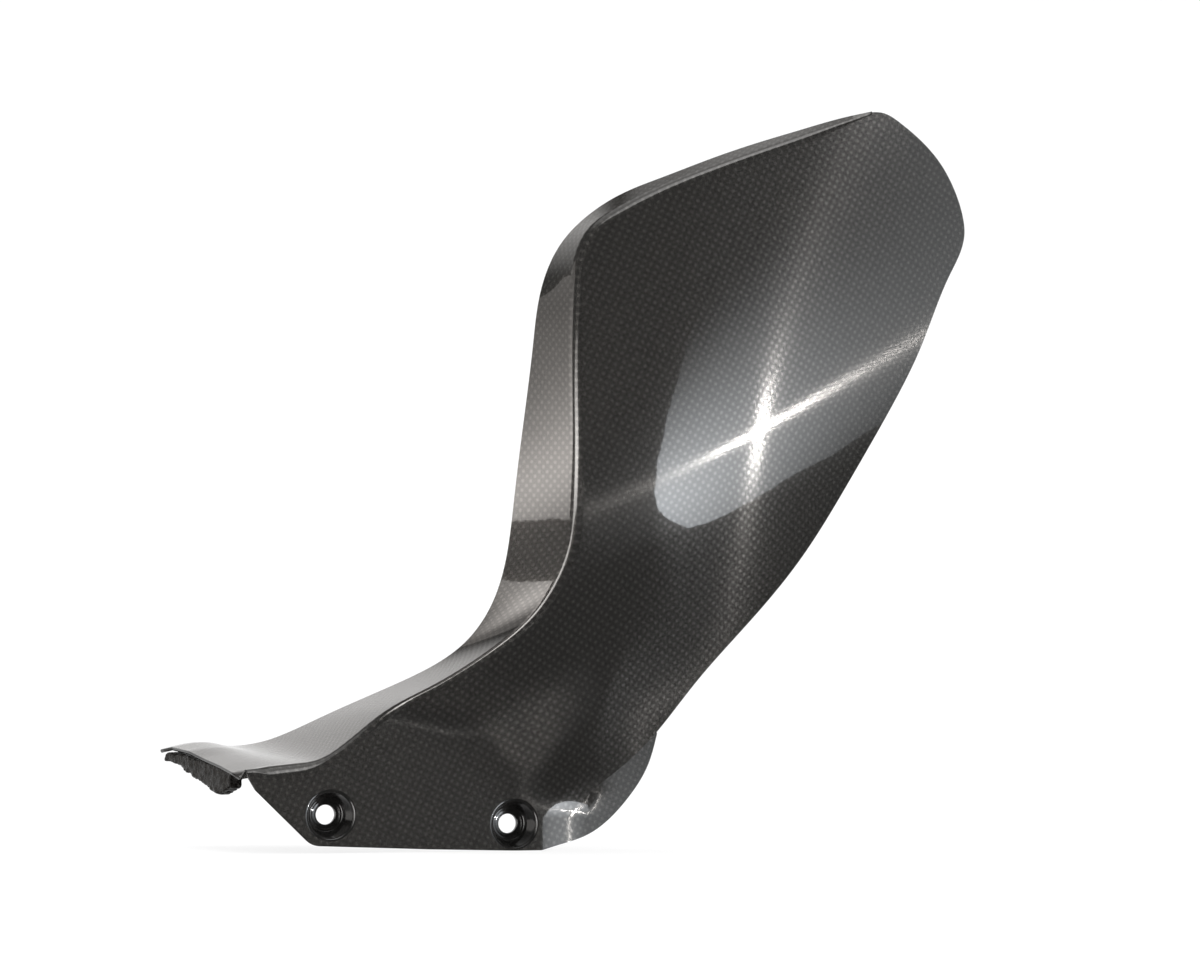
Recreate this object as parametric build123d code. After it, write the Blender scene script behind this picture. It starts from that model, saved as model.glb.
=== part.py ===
"""Rear hugger mudguard for a motorbike, moulded in carbon fibre.

Millimetres. The origin is the centre of the front bolt hole, on the back of its cup, where the
cup sits on the swing arm. X runs back along the flange, Z runs up, and -Y is the outer side.
The shapes below are drawn with Y = 0 on the flange's outer face and moved there at the end.
"""

from build123d import *
import math
import os

# laminate
WALL = 1.6

# bolting flange: flat at the two bolts, then turned back towards the wheel
FLANGE_BEND_X = 92.0
FLANGE_BEND_RADIUS = 70.0
FLANGE_TURN_DEG = 20.0
FLANGE_CORNER_RADIUS = 9.0
FLANGE_OUTLINE = [(-36.0, 19.3), (-32.4, 11.0), (-8.0, -12.5), (43.0, -14.6), (93.0, -16.0)]
EAR_OUTLINE = [(93.0, -16.0), (103.0, -13.3), (116.5, -9.5), (128.5, -2.5), (138.5, 6.6), (148.8, 20.4)]
EAR_TIP = (153.9, 34.6)
EAR_INNER = [(141.0, 36.0), (104.0, 24.0), (92.0, 8.0)]
FOLD_LINE = [(72.0, 34.0), (53.0, 39.5), (24.0, 46.0)]
FOLD_COVER = 2.6

# stepped bolt cups, sunk behind the flange
HOLE_SPACING = 81.4
HOLE_DROP = 4.6
HOLE_RADIUS = 4.2
CUP_MOUTH_RADIUS = 9.6
CUP_FLOOR_RADIUS = 7.6
CUP_DEPTH = 9.0
CUP_FLOOR = 3.0
CUP_LIP_RADIUS = 1.2
CAVITY_OVERSHOOT = 1.0
SEAT_RADIUS = 6.2
SEAT_STEP = 0.8

# crown of the wing: heights above the flange on a net laid along the wing
WING_ANGLE_DEG = 57.0
WING_START = 20.0
WING_LENGTH = 365.0
WING_LEFT = -60.0
WING_WIDTH = 176.0
WING_NET = [
    [47.0, -76.0, -67.0],
    [83.0, 171.0, 33.0],
    [54.0, 94.0, 49.0],
    [92.0, 92.0, 61.0],
]

# flank under the crown, rising from a fold in the flange
FLANK_POINT = (48.0, 38.0)
FLANK_RISE = 1.05
FLANK_SWEEP = 0.25

# rolled lower edge of the wing beside the rear bolt, and the shelf that ends it
ROLL_POINT = (95.0, 5.0)
ROLL_RISE = 0.95
ROLL_SWEEP = -0.2
ROLL_CURVE_X = -0.003
ROLL_CURVE_Z = -0.0035
SHELF_POINT = (80.0, 18.0)
SHELF_HEIGHT = 4.0
SHELF_SWEEP = 0.67
SHELF_RISE = 0.40

# crease and outer rail of the deck and strip, front to tail: x, z of the crease, then x, y, z
RAILS = [
    ((-35.9, 19.3), (-55.5, 96.0, 27.2)),
    ((-22.2, 20.5), (-38.0, 92.0, 30.5)),
    ((-12.0, 21.7), (-26.5, 88.0, 28.9)),
    ((-4.1, 23.4), (-15.0, 82.0, 30.1)),
    ((5.8, 29.6), (-5.8, 74.0, 33.4)),
    ((23.3, 43.7), (13.2, 58.0, 43.5)),
    ((42.7, 55.9), (37.9, 30.0, 57.0)),
    ((63.4, 71.7), (54.3, 0.0, 70.0)),
    ((79.2, 89.1), (61.9, -24.0, 86.0)),
    ((87.1, 110.8), (65.5, -38.0, 107.5)),
    ((86.6, 131.0), (66.5, -46.0, 132.3)),
    ((84.9, 151.4), (67.8, -50.0, 153.1)),
    ((83.0, 192.7), (72.5, -53.0, 197.3)),
    ((84.1, 218.2), (76.3, -52.0, 221.0)),
    ((87.8, 230.2), (81.3, -49.0, 233.6)),
    ((95.0, 240.6), (90.1, -52.0, 246.5)),
    ((111.6, 252.0), (109.0, -66.0, 259.8)),
    ((137.0, 264.3), (137.0, -72.0, 272.0)),
    ((172.3, 278.9), (174.0, -76.0, 286.5)),
    ((213.2, 295.9), (215.5, -77.0, 302.0)),
]
CREASE_GAP = 0.4
SLOPE_STEP = 0.5
WELD = 0.01

# bonded bracket under the front edge of the deck: depth and height of its upper and lower outline
BRACKET_THICKNESS = 6.0
BRACKET_SET_BACK = 0.6
BRACKET_LEAN = -0.203
BRACKET_TOP = [(93.0, 26.0), (80.0, 25.2), (60.0, 23.6), (40.0, 22.0), (20.0, 20.4)]
BRACKET_FOOT = [
    (21.0, 11.6),
    (28.0, 9.6),
    (33.0, 8.3),
    (38.0, 9.3),
    (50.0, 12.5),
    (64.0, 16.2),
    (80.0, 20.4),
    (93.0, 22.4),
]

# trailing outline of the wing, from the top of the tail to the notch at the flange
TAIL_OUTLINE = [
    (221.3, 299.4),
    (236.5, 295.4),
    (250.0, 285.2),
    (260.6, 271.2),
    (266.0, 254.5),
    (259.9, 234.7),
    (247.8, 201.8),
    (235.7, 175.5),
    (219.9, 144.9),
    (201.0, 110.2),
    (185.0, 88.3),
    (160.5, 57.8),
    (141.4, 31.6),
    (115.9, 8.5),
]

# lower corners of the space the wing is cut from, both below the fold
WING_SPACE_LEFT = (8.0, 8.0)
WING_SPACE_RIGHT_Z = -4.0

# reach of the construction solids past the outline
FAR = 400.0
PLANE_X = (-10.0, 290.0)
PLANE_Z = (-20.0, 330.0)
ROLL_X = (60.0, 215.0)
ROLL_Z = (-12.0, 120.0)


def net_position(along, across):
    """Place in the side view of a point of the crown's net, given as two shares."""
    turn = math.radians(WING_ANGLE_DEG)
    s = WING_START + WING_LENGTH * along
    t = WING_LEFT + WING_WIDTH * across
    return s * math.cos(turn) + t * math.sin(turn), s * math.sin(turn) - t * math.cos(turn)


def crown(x, z):
    """Height of the wing's crown: a cubic by quadratic net laid along the wing."""
    turn = math.radians(WING_ANGLE_DEG)
    along = (x * math.cos(turn) + z * math.sin(turn) - WING_START) / WING_LENGTH
    across = (x * math.sin(turn) - z * math.cos(turn) - WING_LEFT) / WING_WIDTH
    cubic = [math.comb(3, i) * along**i * (1 - along) ** (3 - i) for i in range(4)]
    quadratic = [math.comb(2, j) * across**j * (1 - across) ** (2 - j) for j in range(3)]
    return sum(WING_NET[i][j] * cubic[i] * quadratic[j] for i in range(4) for j in range(3))


def flank(x, z):
    return FLANK_RISE * (z - FLANK_POINT[1]) + FLANK_SWEEP * (x - FLANK_POINT[0])


def roll(x, z):
    dx = x - ROLL_POINT[0]
    dz = z - ROLL_POINT[1]
    return ROLL_RISE * dz + ROLL_SWEEP * dx + ROLL_CURVE_X * dx**2 + ROLL_CURVE_Z * dz**2


def shelf(x, z):
    return SHELF_HEIGHT + SHELF_SWEEP * (x - SHELF_POINT[0]) + SHELF_RISE * (z - SHELF_POINT[1])


def wing_height(x, z):
    """Height of the wing's outer face above the flange: crown, flank and rolled lower edge."""
    upper = min(crown(x, z), flank(x, z))
    if z > ROLL_Z[1] or x < ROLL_X[0]:
        return upper
    return max(upper, min(roll(x, z), shelf(x, z)))


def flange_depth(x):
    """How far the flange's outer face lies behind its flat part."""
    end = FLANGE_BEND_RADIUS * math.sin(math.radians(FLANGE_TURN_DEG))
    beyond = min(max(x - FLANGE_BEND_X, 0.0), end)
    bent = FLANGE_BEND_RADIUS - math.sqrt(FLANGE_BEND_RADIUS**2 - beyond**2)
    straight = max(x - FLANGE_BEND_X - end, 0.0) * math.tan(math.radians(FLANGE_TURN_DEG))
    return bent + straight


def crease_point(x, z):
    """A point of the crease, on the wing's outer face or on the flange, whichever is in front."""
    return Vector(x, min(-wing_height(x, z), flange_depth(x)), z)


def inward(height, x, z):
    """The direction into the part from a face that is a height over the side view."""
    step = SLOPE_STEP
    slope_x = (height(x + step, z) - height(x - step, z)) / (2 * step)
    slope_z = (height(x, z + step) - height(x, z - step)) / (2 * step)
    return Vector(slope_x, 1, slope_z).normalized()


def behind(face):
    return Solid.extrude(face, Vector(0, 2 * FAR, 0))


def crown_body(depth):
    """All that lies behind the crown, or behind its parallel face at a depth."""
    rows = []
    for i in range(4):
        row = []
        for j in range(3):
            x, z = net_position(i / 3, j / 2)
            row.append(Vector(x, -WING_NET[i][j], z) + inward(crown, x, z) * depth)
        rows.append(row)
    return behind(Face.make_bezier_surface(rows))


def plane_body(height, depth):
    """All that lies behind a flat face, or behind its parallel at a depth."""
    corners = [(x, z) for x, z in zip(PLANE_X + PLANE_X[::-1], (PLANE_Z[0],) * 2 + (PLANE_Z[1],) * 2)]
    points = [Vector(x, -height(x, z), z) + inward(height, x, z) * depth for x, z in corners]
    return behind(Face(Wire.make_polygon(points, close=True)))


def roll_body(depth):
    """All that lies behind the rolled edge's face, a quadratic in both directions."""
    dx = (ROLL_X[1] - ROLL_X[0]) / 2
    dz = (ROLL_Z[1] - ROLL_Z[0]) / 2
    rows = []
    for i in range(3):
        row = []
        for j in range(3):
            x = ROLL_X[0] + dx * i
            z = ROLL_Z[0] + dz * j
            height = roll(x, z)
            if i == 1:
                height -= ROLL_CURVE_X * dx**2
            if j == 1:
                height -= ROLL_CURVE_Z * dz**2
            row.append(Vector(x, -height, z) + inward(roll, x, z) * depth)
        rows.append(row)
    return behind(Face.make_bezier_surface(rows))


def wing_body(depth):
    """All that lies behind the wing's outer face, or behind its parallel face at a depth."""
    upper = crown_body(depth) & plane_body(flank, depth)
    lower = roll_body(depth) & plane_body(shelf, depth)
    return upper + lower


def side_prism(edges):
    """A closed outline in the XZ plane as a solid through the whole depth."""
    face = Face(Wire(edges))
    return Solid.extrude(face, Vector(0, 2 * FAR, 0)).moved(Location((0, -FAR, 0)))


def flat(points, y=0.0):
    return [Vector(x, y, z) for x, z in points]


def flange_profile(radius, offset):
    """The flange's face seen from above, at an offset behind the outer face."""
    turn = math.radians(FLANGE_TURN_DEG)
    centre_y = FLANGE_BEND_RADIUS
    start = Vector(FLANGE_BEND_X, offset, 0)
    end = Vector(FLANGE_BEND_X + radius * math.sin(turn), centre_y - radius * math.cos(turn), 0)
    middle = Vector(FLANGE_BEND_X + radius * math.sin(turn / 2), centre_y - radius * math.cos(turn / 2), 0)
    past = end + Vector(math.cos(turn), math.sin(turn), 0) * FAR
    return [
        Edge.make_line(Vector(-FAR, offset, 0), start),
        Edge.make_three_point_arc(start, middle, end),
        Edge.make_line(end, past),
    ]


def front_space():
    """Everything in front of the flange's outer face."""
    profile = flange_profile(FLANGE_BEND_RADIUS, 0.0)
    first = profile[0].position_at(0)
    last = profile[-1].position_at(1)
    corner_b = Vector(last.X, -FAR, 0)
    corner_a = Vector(first.X, -FAR, 0)
    closing = [
        Edge.make_line(last, corner_b),
        Edge.make_line(corner_b, corner_a),
        Edge.make_line(corner_a, first),
    ]
    face = Face(Wire(profile + closing))
    return Solid.extrude(face, Vector(0, 0, 2 * FAR)).moved(Location((0, 0, -FAR)))


def flange_slab():
    """The bent flange before its outline is cut."""
    outer = flange_profile(FLANGE_BEND_RADIUS, 0.0)
    inner = flange_profile(FLANGE_BEND_RADIUS - WALL, WALL)
    ends = [
        Edge.make_line(outer[0].position_at(0), inner[0].position_at(0)),
        Edge.make_line(outer[-1].position_at(1), inner[-1].position_at(1)),
    ]
    face = Face(Wire(outer + inner + ends))
    return Solid.extrude(face, Vector(0, 0, 2 * FAR)).moved(Location((0, 0, -FAR)))


def flange():
    """The bolting flange with its rear ear, under the fold where the wing leaves it."""
    crease = flat([rail[0] for rail in RAILS[:6]])
    fold = [(x, z + FOLD_COVER) for x, z in FOLD_LINE]
    front = flat(FLANGE_OUTLINE)
    ear = Edge.make_spline(flat(EAR_OUTLINE + [EAR_TIP]))
    back = flat([EAR_TIP] + EAR_INNER + fold + [RAILS[5][0]])
    edges = [Edge.make_line(a, b) for a, b in zip(front, front[1:])]
    edges.append(ear)
    edges += [Edge.make_line(a, b) for a, b in zip(back, back[1:])]
    crease.reverse()
    edges += [Edge.make_line(a, b) for a, b in zip(crease, crease[1:])]
    edges.append(Edge.make_line(crease[-1], front[0]))
    plate = flange_slab() & side_prism(edges)
    corner = plate.edges().filter_by(Axis.Y).sort_by_distance(Vector(*flat([FLANGE_OUTLINE[2]])[0]))[0]
    return plate.fillet(FLANGE_CORNER_RADIUS, [corner])


def wing_outline():
    """The wing's outline in the side view, a little inside the crease."""
    crease = flat([rail[0] for rail in RAILS[5:]])
    crease = [point + Vector(CREASE_GAP, 0, -CREASE_GAP / 2) for point in crease]
    tail = flat(TAIL_OUTLINE)
    low_left = flat([WING_SPACE_LEFT])[0]
    low_right = Vector(TAIL_OUTLINE[-1][0], 0, WING_SPACE_RIGHT_Z)
    return [
        Edge.make_spline(crease),
        Edge.make_line(crease[-1], tail[0]),
        Edge.make_spline(tail),
        Edge.make_line(tail[-1], low_right),
        Edge.make_line(low_right, low_left),
        Edge.make_line(low_left, crease[0]),
    ]


def wing():
    """The crowned wing, cut to its outline and to the flange's outer face."""
    space = side_prism(wing_outline()) & front_space()
    return (space & wing_body(0.0)) - wing_body(WALL)


def strip():
    """The deck and the narrow strip: a ruled sheet from the crease to the outer rail."""
    starts = [crease_point(*crease) for crease, rail in RAILS]
    finishes = [Vector(*rail) for crease, rail in RAILS]
    sheet = Face.make_surface_from_curves(Edge.make_spline(starts), Edge.make_spline(finishes))
    return Solid.thicken(sheet, WALL, Vector(1, 0, -1))


def cup():
    """One stepped cup, its mouth flush with the flange's outer face, as a boss and its cavity."""
    total = CUP_DEPTH + CUP_FLOOR
    boss_outline = [
        (0, 0),
        (CUP_MOUTH_RADIUS + WALL, 0),
        (CUP_MOUTH_RADIUS + WALL, WALL),
        (CUP_FLOOR_RADIUS + WALL, total),
        (0, total),
    ]
    cavity_outline = [
        (0, -CAVITY_OVERSHOOT),
        (CUP_MOUTH_RADIUS, -CAVITY_OVERSHOOT),
        (CUP_MOUTH_RADIUS, 0),
        (CUP_FLOOR_RADIUS, CUP_DEPTH),
        (SEAT_RADIUS, CUP_DEPTH),
        (SEAT_RADIUS, CUP_DEPTH + SEAT_STEP),
        (HOLE_RADIUS, CUP_DEPTH + SEAT_STEP),
        (HOLE_RADIUS, total + CAVITY_OVERSHOOT),
        (0, total + CAVITY_OVERSHOOT),
    ]
    solids = []
    for outline in (boss_outline, cavity_outline):
        points = [Vector(r, y, 0) for r, y in outline]
        face = Face(Wire.make_polygon(points, close=True))
        solids.append(Solid.revolve(face, 360, Axis.Y))
    return solids


def bolt_places():
    return [Location((0, 0, 0)), Location((HOLE_SPACING, 0, -HOLE_DROP))]


def mouth_edges(body):
    """The two circles where the cups open on the flange's outer face."""
    circles = body.edges().filter_by(GeomType.CIRCLE)
    mouths = [edge for edge in circles if abs(edge.radius - CUP_MOUTH_RADIUS) < WELD]
    return [edge for edge in mouths if abs(edge.arc_center.Y) < WELD]


def mudguard_shell():
    body = flange() + wing() + strip()
    boss, cavity = cup()
    for place in bolt_places():
        body = body + boss.moved(place)
    for place in bolt_places():
        body = body - cavity.moved(place)
    return body.fillet(CUP_LIP_RADIUS, mouth_edges(body))


def front_bracket(shell):
    """The bonded bracket: a bar along the deck's front edge, its top shaped by the deck."""
    start_x = RAILS[0][0][0] + BRACKET_SET_BACK
    points = [Vector(start_x + BRACKET_LEAN * y, y, z) for y, z in BRACKET_FOOT + BRACKET_TOP]
    across = Vector(1, -BRACKET_LEAN, 0).normalized() * BRACKET_THICKNESS
    bar = Solid.extrude(Face(Wire.make_polygon(points, close=True)), across)
    return (bar - shell).solids().sort_by(SortBy.VOLUME)[-1]


if __name__ == "__main__":
    os.makedirs("parts", exist_ok=True)
    seated = Location((0, -CUP_DEPTH - CUP_FLOOR, 0))
    shell = mudguard_shell()
    export_step(shell.moved(seated), "parts/mudguard_shell.step")
    export_step(front_bracket(shell).moved(seated), "parts/front_bracket.step")
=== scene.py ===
"""Looks of the rear hugger mudguard: a lacquered carbon shell and the rough bracket bonded to it.

The shapes are drawn in millimetres with Y = 0 on the outer face of the bolting flange, as in the
CAD source, and moved into the shared frame, in metres, when the meshes are made.
"""

import math

import bpy
import numpy as np
from mathutils import Matrix, Vector
from mathutils.geometry import delaunay_2d_cdt


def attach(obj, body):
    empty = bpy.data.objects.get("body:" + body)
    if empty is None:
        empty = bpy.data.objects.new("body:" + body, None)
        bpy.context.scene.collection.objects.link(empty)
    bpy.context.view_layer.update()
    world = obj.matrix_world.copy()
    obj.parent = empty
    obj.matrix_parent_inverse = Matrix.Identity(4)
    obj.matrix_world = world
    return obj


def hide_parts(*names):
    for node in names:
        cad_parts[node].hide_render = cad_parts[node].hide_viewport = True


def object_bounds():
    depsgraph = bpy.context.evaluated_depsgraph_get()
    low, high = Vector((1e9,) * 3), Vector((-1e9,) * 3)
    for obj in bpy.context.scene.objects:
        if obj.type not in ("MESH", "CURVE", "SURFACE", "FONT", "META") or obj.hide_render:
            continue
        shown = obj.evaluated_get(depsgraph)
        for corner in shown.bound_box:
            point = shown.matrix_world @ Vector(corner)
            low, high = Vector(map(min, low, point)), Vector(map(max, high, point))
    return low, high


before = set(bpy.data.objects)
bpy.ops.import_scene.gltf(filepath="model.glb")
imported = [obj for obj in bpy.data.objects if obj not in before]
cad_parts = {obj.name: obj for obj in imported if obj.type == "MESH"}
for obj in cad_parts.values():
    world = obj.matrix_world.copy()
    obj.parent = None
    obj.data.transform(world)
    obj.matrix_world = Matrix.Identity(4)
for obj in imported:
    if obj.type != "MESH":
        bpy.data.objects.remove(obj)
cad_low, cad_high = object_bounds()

MM = 0.001
SEAT_DEPTH = 12.0          # from the flange's outer face back to the face of the cups, mm

# ---------------------------------------------------------------- shape, in mm
WALL = 1.6
TOW = 2.0                  # width of one tow of the plain weave
CLOTH_TURN = math.radians(18.0)    # the weave's first family, above the X axis in the side view

# the wing's crown: a net of heights laid along the wing's length and across it
WING_ANGLE = math.radians(57.0)
WING_START = 20.0
WING_LENGTH = 365.0
WING_LEFT = -60.0
WING_WIDTH = 176.0
WING_NET = np.array([
    [47.0, -76.0, -67.0],
    [83.0, 171.0, 33.0],
    [54.0, 94.0, 49.0],
    [92.0, 92.0, 61.0],
])

# planes and the roll that the lower wing is blended from: slopes along x and z, and where they pass
FLANK_AT = (48.0, 38.0)
FLANK_SLOPE = (0.25, 1.05)
ROLL_AT = (95.0, 5.0)
ROLL_SLOPE = (-0.2, 0.95)
ROLL_BEND = (0.003, 0.0035)
SHELF_AT = (80.0, 18.0)
SHELF_HEIGHT = 4.0
SHELF_SLOPE = (0.67, 0.40)
CREST_BLEND = 8.0          # crown into flank
SHELF_BLEND = 12.0         # roll into shelf
TERRACE_BLEND = 7.0        # terrace out of the flank
TERRACE_LEAN = (0.25, 100.0)
TERRACE_FADE = (106.0, 26.0)       # heights between which the terrace comes in, leaning with x
FOLD_BLEND = 9.0           # wing into flange
FRONT_FOLD_BLEND = 8.0     # how much wider near the front
FRONT_FOLD_X = (30.0, 0.0)         # the widening comes in along x from the first to the second

FLANGE_BEND_X = 92.0
FLANGE_BEND_RADIUS = 70.0
FLANGE_TURN = math.radians(20.0)

HOLES = [(0.0, 0.0), (81.4, -4.6)]
HOLE_RADIUS = 4.2
CUP_MOUTH_RADIUS = 9.6
CUP_FLOOR_RADIUS = 7.6
CUP_DEPTH = 9.0
CUP_LIP = 1.4
SEAT_RADIUS = 6.2
SEAT_STEP = 0.8
FLOOR_FILLET = 1.0
SEAT_FILLET = 0.3
HOLE_FILLET = 0.4
RING_COUNT = 72

# crease and outer rail of the deck and strip, front to tail: x, z of the crease, then x, y, z
RAILS = [
    ((-35.9, 19.3), (-55.5, 96.0, 27.2)),
    ((-22.2, 20.5), (-38.0, 92.0, 30.5)),
    ((-12.0, 21.7), (-26.5, 88.0, 28.9)),
    ((-4.1, 23.4), (-15.0, 82.0, 30.1)),
    ((5.8, 29.6), (-5.8, 74.0, 33.4)),
    ((23.3, 43.7), (13.2, 58.0, 43.5)),
    ((42.7, 55.9), (37.9, 30.0, 57.0)),
    ((63.4, 71.7), (54.3, 0.0, 70.0)),
    ((79.2, 89.1), (61.9, -24.0, 86.0)),
    ((87.1, 110.8), (65.5, -38.0, 107.5)),
    ((86.6, 131.0), (66.5, -46.0, 132.3)),
    ((84.9, 151.4), (67.8, -50.0, 153.1)),
    ((83.0, 192.7), (72.5, -53.0, 197.3)),
    ((84.1, 218.2), (76.3, -52.0, 221.0)),
    ((85.3, 230.2), (81.2, -50.0, 233.5)),
    ((90.6, 243.4), (88.9, -53.0, 246.3)),
    ((102.0, 252.4), (103.7, -62.0, 259.3)),
    ((120.2, 262.1), (123.3, -70.0, 268.5)),
    ((141.4, 271.4), (144.4, -74.0, 277.3)),
    ((163.3, 280.0), (166.1, -77.0, 285.5)),
    ((181.4, 286.7), (183.6, -79.5, 291.4)),
    ((199.9, 293.6), (201.1, -82.0, 297.1)),
    ((214.8, 299.4), (215.0, -84.1, 300.7)),
]
# the tail's outline, from the top of the tail to the notch at the flange
TAIL_OUTLINE = [
    (215.2, 300.0), (220.3, 300.2), (228.9, 296.9), (239.4, 290.6), (250.3, 281.8), (259.8, 269.4),
    (264.5, 259.6), (266.0, 252.9), (264.3, 244.0), (259.9, 234.7), (247.8, 201.8), (235.7, 175.5),
    (219.9, 144.9), (201.0, 110.2), (185.0, 88.3), (160.5, 57.8), (141.4, 31.6), (115.9, 8.5),
]
FLANGE_FRONT = [(-36.0, 18.0), (-32.4, 11.0), (-8.0, -12.5)]
FLANGE_CORNER_RADIUS = 9.0
FLANGE_FOOT = [(-8.0, -12.5), (43.0, -14.6), (93.0, -16.0)]
EAR_OUTLINE = [
    (93.0, -16.0), (103.0, -13.3), (116.5, -9.5), (128.5, -2.5), (138.5, 6.6), (148.8, 20.4), (153.9, 34.6),
]
EAR_INNER = [(153.9, 34.6), (147.0, 38.0), (134.0, 29.0), (124.0, 18.0), (115.9, 8.5)]
NOTCH_X, NOTCH_Z = TAIL_OUTLINE[-1]        # where tail and ear part
NOTCH_FOOT_Z = -9.5        # the seam between wing and ear runs down from the notch to here
EAR_DECAY = 4.0            # over this length the fold's height dies away along the ear

GRID = 1.6                 # spacing of the mesh over the outer face
CREASE_INSET = 3.0         # where the crease's rounding starts, on either side of it
FRONT_ROLL = 4.0           # how much wider that rounding is near the front
FRONT_ROLL_IN = (-34.0, -24.0)     # along x it comes in from the first to the second
FRONT_ROLL_OUT = (2.0, -14.0)      # and goes out from the second to the first
RIM_STEPS = 4
RIM_BULGE = 0.35           # how far the rim's rounding stands out
OUTER, STRIP, BACK, RIM, CUP, CUP_BACK = range(6)      # the shell's parts, for its material slots


def larger(a, b, blend):
    """The larger of two heights, run smoothly into each other."""
    return (a + b + np.sqrt((a - b) ** 2 + blend * blend)) / 2


def smaller(a, b, blend):
    """The smaller of two heights, run smoothly into each other."""
    return (a + b - np.sqrt((a - b) ** 2 + blend * blend)) / 2


def crown(x, z):
    """Height of the wing's crown: a cubic by quadratic net laid along the wing."""
    along = (x * math.cos(WING_ANGLE) + z * math.sin(WING_ANGLE) - WING_START) / WING_LENGTH
    across = (x * math.sin(WING_ANGLE) - z * math.cos(WING_ANGLE) - WING_LEFT) / WING_WIDTH
    cubic = [math.comb(3, i) * along**i * (1 - along) ** (3 - i) for i in range(4)]
    quadratic = [math.comb(2, j) * across**j * (1 - across) ** (2 - j) for j in range(3)]
    return sum(WING_NET[i, j] * cubic[i] * quadratic[j] for i in range(4) for j in range(3))


def flank(x, z):
    """The wing's side, between the fold and the crown."""
    return FLANK_SLOPE[1] * (z - FLANK_AT[1]) + FLANK_SLOPE[0] * (x - FLANK_AT[0])


def roll(x, z):
    """The rounded swelling above the rear bolt."""
    dx = x - ROLL_AT[0]
    dz = z - ROLL_AT[1]
    return ROLL_SLOPE[1] * dz + ROLL_SLOPE[0] * dx - ROLL_BEND[0] * dx**2 - ROLL_BEND[1] * dz**2


def shelf(x, z):
    """The flatter face that cuts the roll off, which gives the terrace its edge."""
    return SHELF_HEIGHT + SHELF_SLOPE[0] * (x - SHELF_AT[0]) + SHELF_SLOPE[1] * (z - SHELF_AT[1])


def flange_depth(x):
    """How far the flange's outer face lies behind its flat part."""
    end = FLANGE_BEND_RADIUS * math.sin(FLANGE_TURN)
    beyond = np.clip(x - FLANGE_BEND_X, 0.0, end)
    bent = FLANGE_BEND_RADIUS - np.sqrt(FLANGE_BEND_RADIUS**2 - beyond**2)
    return bent + np.maximum(x - FLANGE_BEND_X - end, 0.0) * math.tan(FLANGE_TURN)


def ease(value, start, end):
    """0 before start, 1 after end, and smooth between them; end may lie below start."""
    t = np.clip((value - start) / (end - start), 0, 1)
    return t * t * (3 - 2 * t)


def wing_height(x, z):
    """The crown and flank, with the terrace above the rear bolt raised from them."""
    upper = smaller(crown(x, z), flank(x, z), CREST_BLEND)
    lower = smaller(roll(x, z), shelf(x, z), SHELF_BLEND)
    reach = ease(z + TERRACE_LEAN[0] * (x - TERRACE_LEAN[1]), *TERRACE_FADE)
    return upper + reach * larger(lower - upper, 0.0, TERRACE_BLEND)


def larger_near(a, b, reach):
    """The larger of two heights, rounded only where they differ by less than reach."""
    share = np.maximum(reach - np.abs(a - b), 0.0) / reach
    return np.maximum(a, b) + share * share * reach / 4


def outer_height(x, z):
    """Height of the whole outer face: the wing, run into the flange along the fold."""
    blend = FOLD_BLEND + FRONT_FOLD_BLEND * ease(x, *FRONT_FOLD_X)
    return larger_near(wing_height(x, z), -flange_depth(x), blend)


def ear_height(x, z):
    """Height of the ear past the notch, where the fold's rounding dies away."""
    past = np.maximum(x - NOTCH_X, 0.0)
    near_x = np.minimum(x, NOTCH_X)
    rise = outer_height(near_x, np.minimum(z, NOTCH_Z)) + flange_depth(near_x)
    return -flange_depth(x) + rise * np.exp(-past / EAR_DECAY)


def slopes(height, x, z):
    """Slopes of a height along x and z, by differences."""
    step = 0.4
    slope_x = (height(x + step, z) - height(x - step, z)) / (2 * step)
    slope_z = (height(x, z + step) - height(x, z - step)) / (2 * step)
    return slope_x, slope_z


def unit(vectors):
    """Vectors at length one."""
    return vectors / np.maximum(np.linalg.norm(vectors, axis=-1, keepdims=True), 1e-12)


def outward(height, x, z):
    """The outer face's normal."""
    slope_x, slope_z = slopes(height, x, z)
    return unit(np.stack([-slope_x, -np.ones_like(slope_x), -slope_z], axis=-1))


def on_face(height, x, z):
    """Points of the outer face over places in the side view."""
    return np.stack([x, -height(x, z), z], axis=-1)


# ---------------------------------------------------------------- curves


def spline_through(points, spacing):
    """A smooth curve through points, as evenly spaced points."""
    points = np.array(points, float)
    knots = np.concatenate([[0], np.cumsum(np.linalg.norm(np.diff(points, axis=0), axis=1))])
    n = len(points)
    gaps = np.diff(knots)
    system = np.zeros((n, n))
    right = np.zeros(points.shape)
    system[0, 0] = system[-1, -1] = 1.0
    for i in range(1, n - 1):
        system[i, i - 1] = gaps[i - 1]
        system[i, i] = 2 * (gaps[i - 1] + gaps[i])
        system[i, i + 1] = gaps[i]
        right[i] = 6 * ((points[i + 1] - points[i]) / gaps[i] - (points[i] - points[i - 1]) / gaps[i - 1])
    bend = np.linalg.solve(system, right)

    def at(t):
        i = np.clip(np.searchsorted(knots, t) - 1, 0, n - 2)
        a = ((knots[i + 1] - t) / gaps[i])[:, None]
        b = ((t - knots[i]) / gaps[i])[:, None]
        h2 = (gaps[i] ** 2)[:, None]
        return a * points[i] + b * points[i + 1] + ((a**3 - a) * bend[i] + (b**3 - b) * bend[i + 1]) * h2 / 6

    fine = np.linspace(0, knots[-1], 40 * n)
    run = np.concatenate([[0], np.cumsum(np.linalg.norm(np.diff(at(fine), axis=0), axis=1))])
    count = max(2, int(round(run[-1] / spacing)) + 1)
    t = np.interp(np.linspace(0, run[-1], count), run, fine)
    return at(t)


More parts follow.
